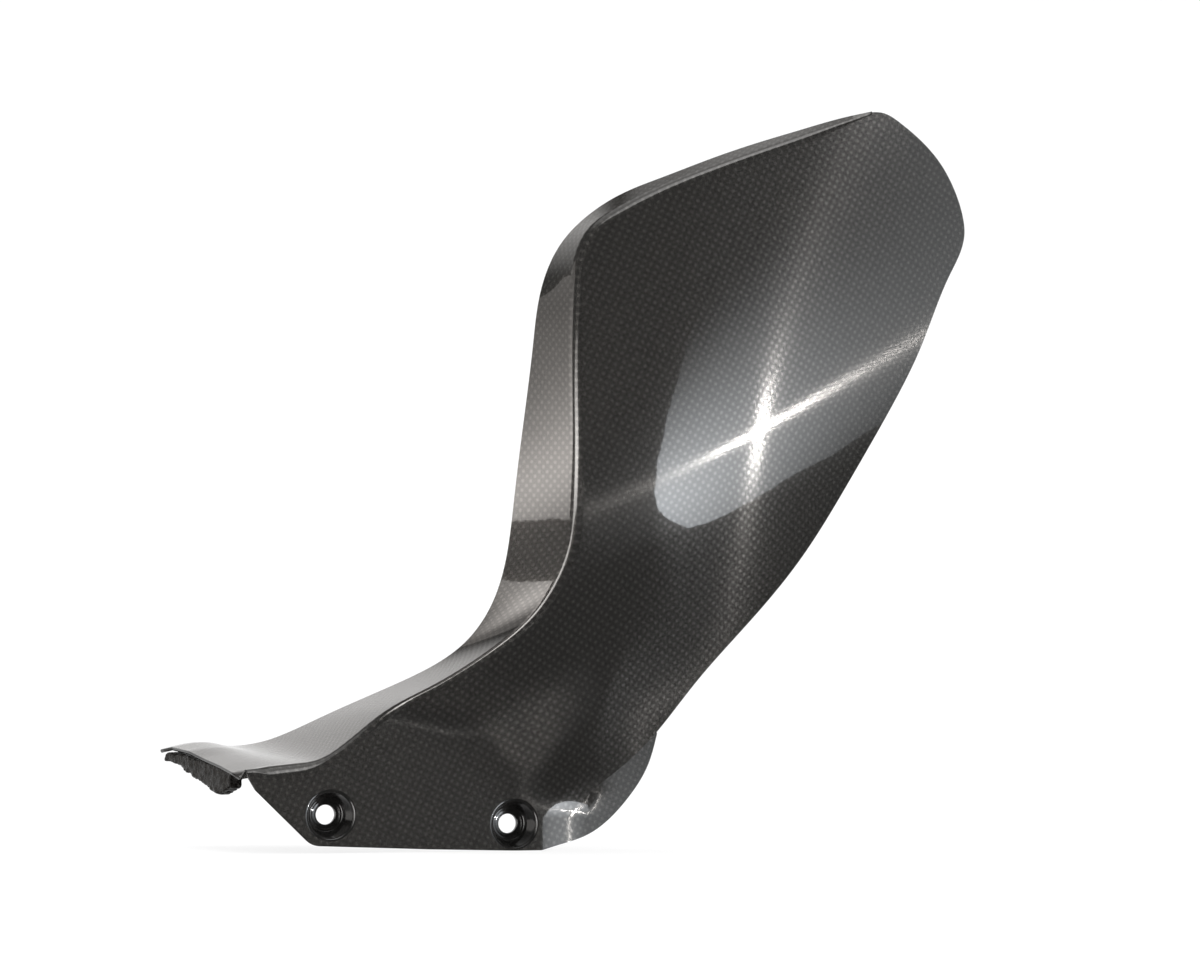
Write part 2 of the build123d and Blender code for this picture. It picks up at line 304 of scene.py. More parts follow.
def polyline(points, spacing):
    """Points along straight runs."""
    out = [np.array(points[0], float)]
    for a, b in zip(points, points[1:]):
        a = np.array(a, float)
        b = np.array(b, float)
        steps = max(1, int(round(np.linalg.norm(b - a) / spacing)))
        for i in range(1, steps + 1):
            out.append(a + (b - a) * i / steps)
    return np.array(out)


def rounded_corner(before, corner, after, radius, spacing):
    """The arc that rounds one corner of an outline."""
    before, corner, after = (np.array(p, float) for p in (before, corner, after))
    to_before = unit(before - corner)
    to_after = unit(after - corner)
    half = math.acos(float(np.clip(to_before @ to_after, -1, 1))) / 2
    back = radius / math.tan(half)
    centre = corner + unit(to_before + to_after) * radius / math.sin(half)
    a = corner + to_before * back - centre
    b = corner + to_after * back - centre
    sweep = math.pi - 2 * half
    count = max(3, int(radius * sweep / spacing) + 1)
    return [
        centre + (a * math.sin(sweep * (1 - t)) + b * math.sin(sweep * t)) / math.sin(sweep)
        for t in np.linspace(0, 1, count)
    ]


# ---------------------------------------------------------------- the shell's mesh


class Skin:
    """Vertices, normals, cloth coordinates and faces of the outer face, put together from patches."""

    def __init__(self):
        self.points = []
        self.normals = []
        self.cloth = []
        self.faces = []
        self.parts = []
        self.known = {}

    def vertex(self, point, normal):
        """The point's number; a point that is there already keeps its first normal."""
        key = tuple(np.round(point, 4))
        if key in self.known:
            return self.known[key]
        self.points.append(point)
        self.normals.append(normal)
        self.known[key] = len(self.points) - 1
        return len(self.points) - 1

    def add(self, points, normals, cloth, faces, part=OUTER):
        """Adds a patch, joined to the others where its points meet theirs."""
        ids = [self.vertex(p, n) for p, n in zip(points, normals)]
        for face in faces:
            corners = [ids[i] for i in face]
            if len(set(corners)) < 3:
                continue
            kept = [i for k, i in enumerate(face) if ids[i] != corners[k - 1]]
            self.faces.append([ids[i] for i in kept])
            self.cloth.append([cloth[i] for i in kept])
            self.parts.append(part)


def inside(points, outline):
    """Which points lie inside a closed outline."""
    x, z = points[:, 0], points[:, 1]
    result = np.zeros(len(points), bool)
    j = len(outline) - 1
    for i in range(len(outline)):
        xi, zi = outline[i]
        xj, zj = outline[j]
        if zi != zj:
            crosses = (zi > z) != (zj > z)
            result ^= crosses & (x < (xj - xi) * (z - zi) / (zj - zi) + xi)
        j = i
    return result


def clear_of(points, line, distance):
    """Which points are farther than a distance from all points of a line."""
    keep = np.ones(len(points), bool)
    batch = 60
    for start in range(0, len(line), batch):
        some = line[start:start + batch]
        gap = np.sqrt(((points[:, None, :] - some[None]) ** 2).sum(2)).min(1)
        keep &= gap > distance
    return keep


def fill(outline, holes=()):
    """Triangles over a closed outline with holes, on an even grid."""
    rings = [np.array(outline)] + [np.array(h) for h in holes]
    low = rings[0].min(0)
    high = rings[0].max(0)
    rows = np.arange(low[1], high[1], GRID * math.sqrt(3) / 2)
    columns = np.arange(low[0], high[0], GRID)
    grid = np.array([(x + (GRID / 2 if i % 2 else 0), z) for i, z in enumerate(rows) for x in columns])
    grid = grid[inside(grid, rings[0])]
    for hole in rings[1:]:
        grid = grid[~inside(grid, hole)]
    edge_points = np.concatenate(rings)
    nearest = 0.62 * GRID
    grid = grid[clear_of(grid, edge_points, nearest)]
    points = np.concatenate([edge_points, grid])
    edges = []
    start = 0
    for ring in rings:
        n = len(ring)
        edges += [(start + i, start + (i + 1) % n) for i in range(n)]
        start += n
    inside_edges = 1       # the output type that keeps only triangles inside the outline's edges
    made = delaunay_2d_cdt([Vector(p) for p in points], edges, [], inside_edges, 1e-6)
    vertices = np.array([tuple(v) for v in made[0]])
    # exact places instead of rounded ones, so that patches meet on the same vertices
    for k, sources in enumerate(made[3]):
        if sources:
            vertices[k] = points[sources[0]]
    triangles = [tuple(f) for f in made[2]]
    middles = vertices[np.array(triangles)].mean(1)
    keep = np.full(len(triangles), True)
    for hole in rings[1:]:
        keep &= ~inside(middles, hole)
    triangles = [f for f, k in zip(triangles, keep) if k]
    return vertices, triangles


def cloth_at(x, z):
    """Cloth lengths over the outer face, along each family of tows, as laid on in the side view."""
    return np.stack([
        x * math.cos(CLOTH_TURN) + z * math.sin(CLOTH_TURN),
        z * math.cos(CLOTH_TURN) - x * math.sin(CLOTH_TURN),
    ], axis=-1)


def crease_curve():
    """Crease, its inset line on the outer face, and the outer rail, station by station."""
    both = [(c[0], c[1], r[0], r[1], r[2]) for c, r in RAILS]
    stations = spline_through(both, spacing=2.0)
    crease = stations[:, :2]
    rail = stations[:, 2:]
    along = unit(np.gradient(crease, axis=0))
    x = crease[:, 0]
    reach = CREASE_INSET + FRONT_ROLL * ease(x, *FRONT_ROLL_IN) * ease(x, *FRONT_ROLL_OUT)
    tail_fade = 30.0
    reach *= np.clip((TAIL_OUTLINE[0][0] - x) / tail_fade, 0.1, 1.0)
    inset = crease + np.stack([along[:, 1], -along[:, 0]], axis=1) * reach[:, None]
    return crease, inset, rail, reach


def hole_ring(x, z, radius):
    """A ring of points round a bolt hole, in the side view."""
    turn = np.linspace(0, 2 * math.pi, RING_COUNT, endpoint=False)
    return np.stack([x + radius * np.cos(turn), z + radius * np.sin(turn)], axis=1)


# the deck's front edge, as offsets from a straight one: share across the deck, then x and z
GROOVE = np.array([
    (0.0, 0.0, 0.0), (0.02, -1.1, -1.9), (0.04, -1.7, -3.3), (0.063, -2.6, -2.7), (0.094, -2.7, -2.0),
    (0.28, -1.0, -0.7), (0.52, 0.4, 0.6), (0.69, 1.0, 2.0), (0.92, 2.0, 1.8), (1.0, 0.0, 0.0),
])
GROOVE_REACH = 38.0


def deck_offset(share, distance):
    """The front edge's ridge and valley, dying away along the deck."""
    fade = max(0.0, 1 - distance / GROOVE_REACH) ** 2
    forward = np.interp(share, GROOVE[:, 0], GROOVE[:, 1])
    upward = np.interp(share, GROOVE[:, 0], GROOVE[:, 2])
    return np.array([forward, 0.0, upward]) * fade


def strip_patch(skin, crease, inset, rail, reach):
    """The rounded crease, and the deck and strip behind it."""
    top = on_face(outer_height, crease[:, 0], crease[:, 1])
    start = on_face(outer_height, inset[:, 0], inset[:, 1])
    run = np.concatenate([[0], np.cumsum(np.linalg.norm(np.diff(top, axis=0), axis=1))])
    width = np.linalg.norm(rail - top, axis=1)
    rounding = 8           # steps round the crease
    across = 44            # steps from there to the rail
    crowding = 1.25        # draws the first of those steps together
    widest = 0.6           # share of the strip's width that the rounding may take
    rows = []
    shares = []
    for i in range(len(top)):
        turn_in = min(reach[i], widest * width[i])
        row = []
        share = []
        finish = top[i] + (rail[i] - top[i]) * turn_in / width[i]
        for k in range(rounding + 1):
            t = k / rounding
            row.append(start[i] * (1 - t) ** 2 + top[i] * 2 * t * (1 - t) + finish * t * t)
            share.append(t * turn_in)
        for k in range(1, across + 1):
            w = turn_in / width[i] + (1 - turn_in / width[i]) * (k / across) ** crowding
            row.append(top[i] + (rail[i] - top[i]) * w + deck_offset(w, run[i]))
            share.append(w * width[i])
        rows.append(row)
        shares.append(share)
    rows = np.array(rows)
    shares = np.array(shares)
    normals = unit(np.cross(np.gradient(rows, axis=0), np.gradient(rows, axis=1)))
    normals[:, 0] = outward(outer_height, inset[:, 0], inset[:, 1])
    flip = np.sign((normals[:, 1] * normals[:, 0]).sum(1).mean())
    normals[:, 1:] *= flip
    n, m = rows.shape[:2]
    cloth = np.stack([shares, np.repeat(run[:, None], m, 1)], axis=-1)
    faces = []
    for i in range(n - 1):
        for j in range(m - 1):
            a = i * m + j
            faces.append((a, a + 1, a + m + 1, a + m))
    skin.add(rows.reshape(-1, 3), normals.reshape(-1, 3), cloth.reshape(-1, 2), faces, STRIP)


def arc(centre, radius, start, end, count=7):
    """Points of a profile's rounding; angles in degrees in the (radius, depth) plane."""
    return [
        (centre[0] + radius * math.cos(math.radians(a)), centre[1] + radius * math.sin(math.radians(a)))
        for a in np.linspace(start, end, count)
    ]


def cup_profile():
    """Inside of one cup from the flange's face to the far end of its bolt hole."""
    mouth = CUP_MOUTH_RADIUS
    lip = CUP_LIP
    floor = CUP_FLOOR_RADIUS
    wall_end = CUP_DEPTH - FLOOR_FILLET
    seat = CUP_DEPTH + SEAT_STEP
    profile = arc((mouth + lip, lip), lip, -90, -180)
    profile += [(mouth - (mouth - floor) * t, lip + (wall_end - lip) * t) for t in (0.25, 0.5, 0.75, 1.0)]
    profile += arc((floor - FLOOR_FILLET, wall_end), FLOOR_FILLET, 0, 90, 5)[1:]
    profile += arc((SEAT_RADIUS, CUP_DEPTH + SEAT_FILLET), SEAT_FILLET, -90, -180, 4)
    profile += [(SEAT_RADIUS - SEAT_FILLET, seat)]
    profile += arc((HOLE_RADIUS + HOLE_FILLET, seat + HOLE_FILLET), HOLE_FILLET, -90, -180, 5)
    profile += [(HOLE_RADIUS, SEAT_DEPTH)]
    return profile


def cup_back_profile():
    """Outside of one cup, from the bolt hole's far end to the back of the flange."""
    outside = CUP_FLOOR_RADIUS + WALL
    base = CUP_MOUTH_RADIUS + CUP_LIP
    return [
        (HOLE_RADIUS, SEAT_DEPTH), (HOLE_RADIUS + 0.2, SEAT_DEPTH), (outside - 0.6, SEAT_DEPTH),
        (outside - 0.2, SEAT_DEPTH - 0.2), (outside, SEAT_DEPTH - 0.7), (base, WALL + 1.2), (base, WALL),
    ]


def shell_outline(inset):
    """Outline of the outer face without the ear, the seam to the ear, and the ear's outer edge."""
    tail = spline_through(TAIL_OUTLINE, spacing=GRID)
    seam_foot = (NOTCH_X, NOTCH_FOOT_Z)
    seam = polyline([TAIL_OUTLINE[-1], seam_foot], GRID)
    ear = spline_through(EAR_OUTLINE, spacing=GRID)
    split = int(np.argmin(np.linalg.norm(ear - np.array(seam_foot), axis=1)))
    ear[split][0] = NOTCH_X
    foot_near = list(ear[:split][::-1])
    corner = rounded_corner(FLANGE_FRONT[1], FLANGE_FRONT[2], FLANGE_FOOT[1], FLANGE_CORNER_RADIUS, 1.0)
    foot = polyline([FLANGE_FOOT[2], FLANGE_FOOT[1], tuple(corner[-1])], GRID)
    front = polyline([tuple(corner[0]), FLANGE_FRONT[1], tuple(inset[0])], GRID)
    seam[-1] = ear[split]
    outline = list(inset) + list(tail) + list(seam[1:]) + foot_near + list(foot[1:]) + list(corner[::-1][1:])
    outline += list(front[1:-1])
    return np.array(outline), seam, ear[split:]


def face_patch(skin, outline, holes, height):
    """Adds the outer face over one outline in the side view."""
    vertices, triangles = fill(outline, holes)
    x, z = vertices[:, 0], vertices[:, 1]
    skin.add(on_face(height, x, z), outward(height, x, z), cloth_at(x, z), triangles)


def open_edges(skin):
    """Edges with a face on one side only, as that face runs along them."""
    found = {}
    for face in skin.faces:
        for a, b in zip(face, face[1:] + face[:1]):
            if (b, a) in found:
                del found[(b, a)]
            else:
                found[(a, b)] = True
    return list(found)


def outer_skin():
    """The whole outer face as one skin, and the rings where the bolt cups start."""
    skin = Skin()
    crease, inset, rail, reach = crease_curve()
    outline, seam, ear = shell_outline(inset)
    rings = [hole_ring(x, z, CUP_MOUTH_RADIUS + CUP_LIP) for x, z in HOLES]
    face_patch(skin, outline, rings, outer_height)
    ear_inner = polyline(EAR_INNER, GRID)
    ear_outline = list(seam) + list(ear[1:]) + list(ear_inner[1:-1])
    face_patch(skin, np.array(ear_outline), [], ear_height)
    strip_patch(skin, crease, inset, rail, reach)
    orient(skin)
    return skin, rings


def orient(skin):
    """Turns each patch as a whole so that its winding agrees with the outer normals."""
    points = np.array(skin.points)
    normals = np.array(skin.normals)
    for part in sorted(set(skin.parts)):
        chosen = [k for k, owner in enumerate(skin.parts) if owner == part]
        agreement = 0.0
        for k in chosen:
            a, b, c = (points[i] for i in skin.faces[k][:3])
            agreement += np.cross(b - a, c - a) @ normals[list(skin.faces[k])].mean(0)
        if agreement < 0:
            for k in chosen:
                skin.faces[k] = skin.faces[k][::-1]
                skin.cloth[k] = skin.cloth[k][::-1]


def shell_mesh():
    """The closed shell: outer skin, back skin, rims, and the bolt cups."""
    skin, rings = outer_skin()
    front = np.array(skin.points)
    normals = unit(np.array(skin.normals))
    count = len(front)
    back = front - normals * WALL
    ring_keys = {tuple(np.round((p[0], -outer_height(p[0], p[1]), p[1]), 4)) for ring in rings for p in ring}
    on_ring = {i for i, p in enumerate(front) if tuple(np.round(p, 4)) in ring_keys}
    points = [tuple(p) for p in front] + [tuple(p) for p in back]
    faces = []
    loop_normals = []
    loop_cloth = []
    parts = []
    for face, cloth, part in zip(skin.faces, skin.cloth, skin.parts):
        faces.append(list(face))
        loop_normals += [normals[i] for i in face]
        loop_cloth += list(cloth)
        parts.append(part)
    for face, cloth, part in zip(skin.faces, skin.cloth, skin.parts):
        faces.append([i + count for i in face[::-1]])
        loop_normals += [-normals[i] for i in face[::-1]]
        loop_cloth += list(cloth[::-1])
        parts.append(BACK)
    # rounded rims between the two skins; out points away from the shell along its edge
    out = np.zeros((count, 3))
    rim = [(a, b) for a, b in open_edges(skin) if not (a in on_ring and b in on_ring)]
    for a, b in rim:
        side = np.cross(front[b] - front[a], normals[a] + normals[b])
        side = side / max(np.linalg.norm(side), 1e-9)
        out[a] += side
        out[b] += side
    out = unit(out)
    extra = {}

    def rim_point(i, k):
        """Number of the rim's point k steps from the outer skin, made when first asked for."""
        if k == 0:
            return i
        if k == RIM_STEPS:
            return i + count
        if (i, k) not in extra:
            t = k / RIM_STEPS
            place = front[i] * (1 - t) + back[i] * t + out[i] * RIM_BULGE * math.sin(math.pi * t)
            points.append(tuple(place))
            extra[(i, k)] = len(points) - 1
        return extra[(i, k)]

    def rim_normal(i, k):
        angle = math.pi * k / RIM_STEPS
        return normals[i] * math.cos(angle) + out[i] * math.sin(angle)

    run = 0.0
    for a, b in rim:
        for k in range(RIM_STEPS):
            corners = [(b, k), (a, k), (a, k + 1), (b, k + 1)]
            faces.append([rim_point(i, j) for i, j in corners])
            loop_normals += [rim_normal(i, j) for i, j in corners]
            loop_cloth += [(run + (0 if i == a else GRID), j * WALL / RIM_STEPS) for i, j in corners]
            parts.append(RIM)
        run += GRID
    cup_rings(points, faces, loop_normals, loop_cloth, parts, on_ring, front, count)
    return np.array(points), faces, np.array(loop_normals), np.array(loop_cloth), parts


def cup_rings(points, faces, loop_normals, loop_cloth, parts, on_ring, front, count):
    """Adds the cups: a lined recess from the outer skin, and its outside from the back skin."""
    margin = 0.5
    cloth_radius = 9.0     # the cloth is laid round a cup as if at this radius all the way down
    for x, z in HOLES:
        near = CUP_MOUTH_RADIUS + CUP_LIP + margin
        ring = sorted(
            (i for i in on_ring if math.hypot(front[i][0] - x, front[i][2] - z) < near),
            key=lambda i: math.atan2(front[i][2] - z, front[i][0] - x),
        )
        n = len(ring)
        angles = [math.atan2(front[i][2] - z, front[i][0] - x) for i in ring]
        lining = (cup_profile(), ring, -1, CUP)
        outside = (cup_back_profile()[::-1], [i + count for i in ring], 1, CUP_BACK)
        end = None
        for profile, first, side, part in (lining, outside):
            table = np.array(profile)
            tangent = np.gradient(table, axis=0)
            normal = unit(np.stack([tangent[:, 1], -tangent[:, 0]], axis=1)) * side
            rows = [first]
            for k in range(1, len(profile)):
                if k == len(profile) - 1 and end is not None:
                    rows.append(end)
                    continue
                rows.append(list(range(len(points), len(points) + n)))
                radius, depth = profile[k]
                points.extend((x + radius * math.cos(a), depth, z + radius * math.sin(a)) for a in angles)
            end = rows[-1]
            length = np.concatenate([[0], np.cumsum(np.linalg.norm(np.diff(table, axis=0), axis=1))])
            for k in range(len(profile) - 1):
                for i in range(n):
                    j = (i + 1) % n
                    corners = [(k, i), (k, j), (k + 1, j), (k + 1, i)]
                    if side > 0:
                        corners = corners[::-1]
                    faces.append([rows[r][c] for r, c in corners])
                    for r, c in corners:
                        away, deeper = normal[r]
                        loop_normals.append((away * math.cos(angles[c]), deeper, away * math.sin(angles[c])))
                        turn = angles[c] + (2 * math.pi if (c == 0 and j == 0) else 0)
                        loop_cloth.append((turn * cloth_radius, length[r]))
                    parts.append(part)


def to_frame(points):
    """From millimetres in the drawing to metres in the shared frame."""
    return (np.array(points) - np.array([0.0, SEAT_DEPTH, 0.0])) * MM


def make_shell(materials):
    """The shell as an object, with its weave laid out in the cloth layer, one unit to a tow."""
    points, faces, loop_normals, loop_cloth, parts = shell_mesh()
    mesh = bpy.data.meshes.new("shell")
    mesh.from_pydata([tuple(p) for p in to_frame(points)], [], faces)
    layer = mesh.uv_layers.new(name="cloth")
    layer.data.foreach_set("uv", (loop_cloth / TOW).astype(np.float32).ravel())
    for material in materials:
        mesh.materials.append(material)
    slot_of_part = {OUTER: 0, STRIP: 0, BACK: 1, RIM: 2, CUP: 3, CUP_BACK: 1}
    mesh.polygons.foreach_set("material_index", [slot_of_part[p] for p in parts])
    mesh.polygons.foreach_set("use_smooth", [True] * len(faces))
    mesh.update()
    mesh.normals_split_custom_set([Vector(n).normalized() for n in loop_normals])
    shell = bpy.data.objects.new("shell", mesh)
    bpy.context.scene.collection.objects.link(shell)
    return shell


def make_bracket(node, material):
    """The bracket with a hand-laid, resin-rich surface: lumps and softened edges on its solid."""
    rough = bpy.data.objects.new("bracket_rough", node.data.copy())
    bpy.context.scene.collection.objects.link(rough)
    remesh = rough.modifiers.new("even", "REMESH")
    remesh.mode = "VOXEL"
    remesh.voxel_size = 0.0007
    soften = rough.modifiers.new("soften", "SMOOTH")
    soften.factor = 0.5
    soften.iterations = 6
    surface = (("lumps", 0.007, 0.0022), ("resin", 0.0022, 0.0008))     # name, size and height in metres
    for name, scale, strength in surface:
        clouds = bpy.data.textures.new(name, "CLOUDS")
        clouds.noise_scale = scale
        lift = rough.modifiers.new(name, "DISPLACE")
        lift.texture = clouds
        lift.texture_coords = "LOCAL"
        lift.mid_level = 0.5
        lift.strength = strength
    mesh = bpy.data.meshes.new_from_object(rough.evaluated_get(bpy.context.evaluated_depsgraph_get()))
    bpy.data.objects.remove(rough)
    mesh.materials.clear()
    mesh.materials.append(material)
    mesh.polygons.foreach_set("use_smooth", [True] * len(mesh.polygons))
    bracket = bpy.data.objects.new("bracket", mesh)
    bpy.context.scene.collection.objects.link(bracket)
    return bracket


# ---------------------------------------------------------------- materials


class Nodes:
    """A short way to write a node tree."""

    def __init__(self, material):
        material.use_nodes = True
        self.tree = material.node_tree
        self.tree.nodes.clear()

    def add(self, kind, inputs=None, **settings):
        """A node with its settings, then its inputs, as values or as links."""
        node = self.tree.nodes.new(kind)
        for name, value in settings.items():
            setattr(node, name, value)
        for key, value in (inputs or {}).items():
            self.put(node, key, value)
        return node

    def put(self, node, key, value):
        """Links an output, or a node's first one, or sets a plain value."""
        if isinstance(value, bpy.types.NodeSocket):
            self.tree.links.new(value, node.inputs[key])
        elif isinstance(value, bpy.types.Node):
            self.tree.links.new(value.outputs[0], node.inputs[key])
        else:
            node.inputs[key].default_value = value

    def math(self, operation, a, b=None, c=None):
        node = self.add("ShaderNodeMath", operation=operation)
        for k, value in enumerate(v for v in (a, b, c) if v is not None):
            self.put(node, k, value)
        return node.outputs[0]

    def vector(self, operation, a, b=None):
        node = self.add("ShaderNodeVectorMath", operation=operation)
        for k, value in enumerate(v for v in (a, b) if v is not None):
            self.put(node, k, value)
        return node.outputs[0]

    def scaled(self, a, factor):
        """A vector or colour times a number."""
        return self.add("ShaderNodeVectorMath", {0: a, "Scale": factor}, operation="SCALE").outputs[0]

    def noise(self, place, scale, detail, roughness=0.5):
        """A noise node: its value is output 0, its colour output "Color"."""
        settings = {"Vector": place, "Scale": scale, "Detail": detail, "Roughness": roughness}
        return self.add("ShaderNodeTexNoise", settings)

    def bump(self, height, strength, distance):
        return self.add("ShaderNodeBump", {"Height": height, "Strength": strength, "Distance": distance})

    def ramp(self, value, low, high, start, end, interpolation="LINEAR"):
        """Value between low and high, as a number between start and end."""
        return self.add("ShaderNodeMapRange", {0: value, 1: low, 2: high, 3: start, 4: end},
                        interpolation_type=interpolation).outputs[0]

    def blend(self, share, a, b):
        """A number, or a colour, between a and b."""
        if isinstance(a, tuple):
            return self.add("ShaderNodeMix", {0: share, 6: a, 7: b}, data_type="RGBA").outputs[2]
        return self.add("ShaderNodeMix", {0: share, 2: a, 3: b}, data_type="FLOAT").outputs[0]

    def object_place(self):
        return self.add("ShaderNodeTexCoord").outputs["Object"]


def weave(nodes):
    """Plain weave from the cloth layer: which tow is on top, how high it stands, and the place in tows."""
    uv = nodes.add("ShaderNodeUVMap", uv_map="cloth")
    wander = nodes.noise(uv.outputs[0], 0.11, 2.0)
    centred = nodes.vector("SUBTRACT", wander.outputs["Color"], (0.5, 0.5, 0.5))
    place = nodes.vector("ADD", uv.outputs[0], nodes.scaled(centred, 0.5))
    split = nodes.add("ShaderNodeSeparateXYZ", {0: place})
    u, v = split.outputs[0], split.outputs[1]
    cell = nodes.math("ADD", nodes.math("FLOOR", u), nodes.math("FLOOR", v))
    parity = nodes.math("FLOORED_MODULO", cell, 2.0)
    over = nodes.math("GREATER_THAN", parity, 0.5)
    from_u = nodes.math("SUBTRACT", nodes.math("FRACT", u), 0.5)
    from_v = nodes.math("SUBTRACT", nodes.math("FRACT", v), 0.5)
    dome_u = nodes.math("COSINE", nodes.math("MULTIPLY", from_u, math.pi))
    dome_v = nodes.math("COSINE", nodes.math("MULTIPLY", from_v, math.pi))
    height = nodes.math("MULTIPLY", dome_u, dome_v)
    return over, height, place


CARBON = (0.047, 0.0455, 0.043)
CARBON_SHEEN = (0.95, 0.86, 0.79)
STRANDS = 24.0             # per tow; each strand draws random numbers between 0 and 1
CROSSED_ABOVE = 0.56       # a strand that draws more lies along the cloth's other family
BROAD_ABOVE = 0.65         # a strand that draws more here has a broader sheen
SHEEN = 0.17               # roughness of a strand
BROADER_BY = 0.26
QUARTER_TURN = 0.25
FINE_BUMP = 0.0001         # metres


def lacquered_carbon(name, lightness=1.0, coat_roughness=0.03):
    """Carbon plain weave under a clear lacquer, with a painted sheen on the tows that come up."""
    material = bpy.data.materials.new(name)
    nodes = Nodes(material)
    over, height, place = weave(nodes)
    # some strands lie along the other family, so that a highlight runs on from tow to tow
    strand = nodes.vector("FLOOR", nodes.scaled(place, STRANDS))
    stray = nodes.add("ShaderNodeTexWhiteNoise", {"Vector": strand})
    crossed = nodes.math("GREATER_THAN", stray.outputs["Value"], CROSSED_ABOVE)
    second = nodes.add("ShaderNodeSeparateXYZ", {0: stray.outputs["Color"]}).outputs[1]
    rough = nodes.math("MULTIPLY_ADD", nodes.math("GREATER_THAN", second, BROAD_ABOVE), BROADER_BY, SHEEN)
    along_v = nodes.math("ABSOLUTE", nodes.math("SUBTRACT", over, crossed))
    # painted sheen: a light dot where a tow comes up stands in for that tow's own highlight; and slow clouds
    # of tone over the whole cloth
    tow_sheen_dot = nodes.ramp(height, 0.10, 0.85, 0.0, 1.0)
    tow_sheen_level = nodes.math("MULTIPLY_ADD", nodes.math("MULTIPLY", over, tow_sheen_dot), 0.58, 0.77)
    cloud = nodes.noise(place, 0.35, 2.0).outputs[0]
    level = nodes.math("MULTIPLY", tow_sheen_level, nodes.math("MULTIPLY_ADD", cloud, 0.2, 0.9))
    tangent = nodes.add("ShaderNodeTangent", direction_type="UV_MAP", uv_map="cloth")
    peel = nodes.noise(nodes.object_place(), 110.0, 2.0)
    shader = nodes.add(
        "ShaderNodeBsdfPrincipled",
        {
            # the painted tow sheen lightens both the base colour and the specular tint
            "Base Color": nodes.scaled([c * lightness for c in CARBON], level),
            "Metallic": 0.6,
            "Roughness": rough,
            "Specular Tint": nodes.scaled(CARBON_SHEEN, level),
            "Anisotropic": 1.0,
            "Anisotropic Rotation": nodes.math("MULTIPLY", along_v, QUARTER_TURN),
            "Tangent": tangent,
            "Normal": nodes.bump(height, 0.04, FINE_BUMP),
            "Coat Weight": 1.0,
            "Coat Roughness": coat_roughness,
            "Coat IOR": 1.5,
            "Coat Normal": nodes.bump(peel, 0.25, FINE_BUMP),
        },
    )
    nodes.add("ShaderNodeOutputMaterial", {"Surface": shader})
    return material


def gloss_black(name):
    """Resin-rich moulded rim and cup lining: black, wet-looking, with a faint waviness."""
    material = bpy.data.materials.new(name)
    nodes = Nodes(material)
    waves = nodes.noise(nodes.object_place(), 260.0, 3.0).outputs[0]
    shader = nodes.add(
        "ShaderNodeBsdfPrincipled",
        {
            "Base Color": nodes.blend(waves, (0.006, 0.006, 0.006, 1), (0.018, 0.017, 0.016, 1)),
            "Roughness": nodes.ramp(waves, 0.3, 0.7, 0.06, 0.16),
            "Normal": nodes.bump(waves, 0.2, FINE_BUMP),
            "IOR": 1.52,
        },
    )
    nodes.add("ShaderNodeOutputMaterial", {"Surface": shader})
    return material


def rough_carbon(name):
    """Bare, resin-rich carbon with wet specks, as inside a hand-laid part."""
    material = bpy.data.materials.new(name)
    nodes = Nodes(material)
    place = nodes.object_place()
    lumps = nodes.noise(place, 260.0, 6.0, 0.7).outputs[0]
    specks = nodes.add("ShaderNodeTexVoronoi", {"Vector": place, "Scale": 520.0}).outputs["Distance"]
    shader = nodes.add(
        "ShaderNodeBsdfPrincipled",
        {
            "Base Color": nodes.blend(lumps, (0.003, 0.003, 0.003, 1), (0.022, 0.019, 0.016, 1)),
            "Roughness": nodes.ramp(lumps, 0.35, 0.65, 0.10, 0.5),
            "Normal": nodes.bump(nodes.math("MULTIPLY_ADD", specks, 0.5, lumps), 1.0, 0.0014),
            "IOR": 1.52,
            "Specular IOR Level": 0.15,
        },
    )
    nodes.add("ShaderNodeOutputMaterial", {"Surface": shader})
    return material


# ---------------------------------------------------------------- studio

# metres, and degrees for directions: azimuth 0 is towards -Y, 90 towards +X
OBJECT_MIDDLE = Vector((0.11, -0.05, 0.14))
HIGHLIGHT_POINT = Vector((0.168, -0.084, 0.164))   # where the X-shaped highlight crosses
CAMERA_PLACE = Vector((-0.285615, -1.191591, 0.037756))
CAMERA_TURN = 19.0
CAMERA_RISE = -5.0
CARD_DISTANCE = 1.6
LAMP_DISTANCE = 1.6
KEY_DISTANCE = 1.4
FALL_OFF = 1.6             # power by which a card dims away from its brightest point
FLOOR_SIDE = 3.5
FLOOR_FRONT = -2.5
SWEEP_START = 1.2
SWEEP_RADIUS = 0.8
SWEEP_TOP = 3.5
SWEEP_STEPS = 12


def direction(azimuth, elevation):
    """A direction in the room, from degrees."""
    a, e = math.radians(azimuth), math.radians(elevation)
    return Vector((math.sin(a) * math.cos(e), -math.cos(a) * math.cos(e), math.sin(e)))


def glow_card(name, outline, bright_at, strengths, reach, tint):
    """A lit card that only shows in reflections, brightest near one point of it."""
    middle = sum((Vector(p) for p in outline), Vector()) / len(outline)
    mesh = bpy.data.meshes.new(name)
    count = len(outline)
    mesh.from_pydata([middle] + list(outline), [], [(0, 1 + i, 1 + (i + 1) % count) for i in range(count)])
    material = bpy.data.materials.new(name)
    nodes = Nodes(material)
    place = nodes.add("ShaderNodeNewGeometry").outputs["Position"]
    away = nodes.add("ShaderNodeVectorMath", {0: place, 1: bright_at}, operation="DISTANCE").outputs["Value"]
    near = nodes.ramp(away, 0.0, reach, 1.0, 0.0)
    brightest, faintest = strengths
    glow = nodes.math("MULTIPLY_ADD", nodes.math("POWER", near, FALL_OFF), brightest - faintest, faintest)
    light = nodes.add("ShaderNodeEmission", {"Color": (*tint, 1), "Strength": glow})
    nodes.add("ShaderNodeOutputMaterial", {"Surface": light.outputs[0]})
    mesh.materials.append(material)
    card = bpy.data.objects.new(name, mesh)
    bpy.context.scene.collection.objects.link(card)
    card.visible_camera = False
    card.visible_diffuse = False
    card.visible_shadow = False


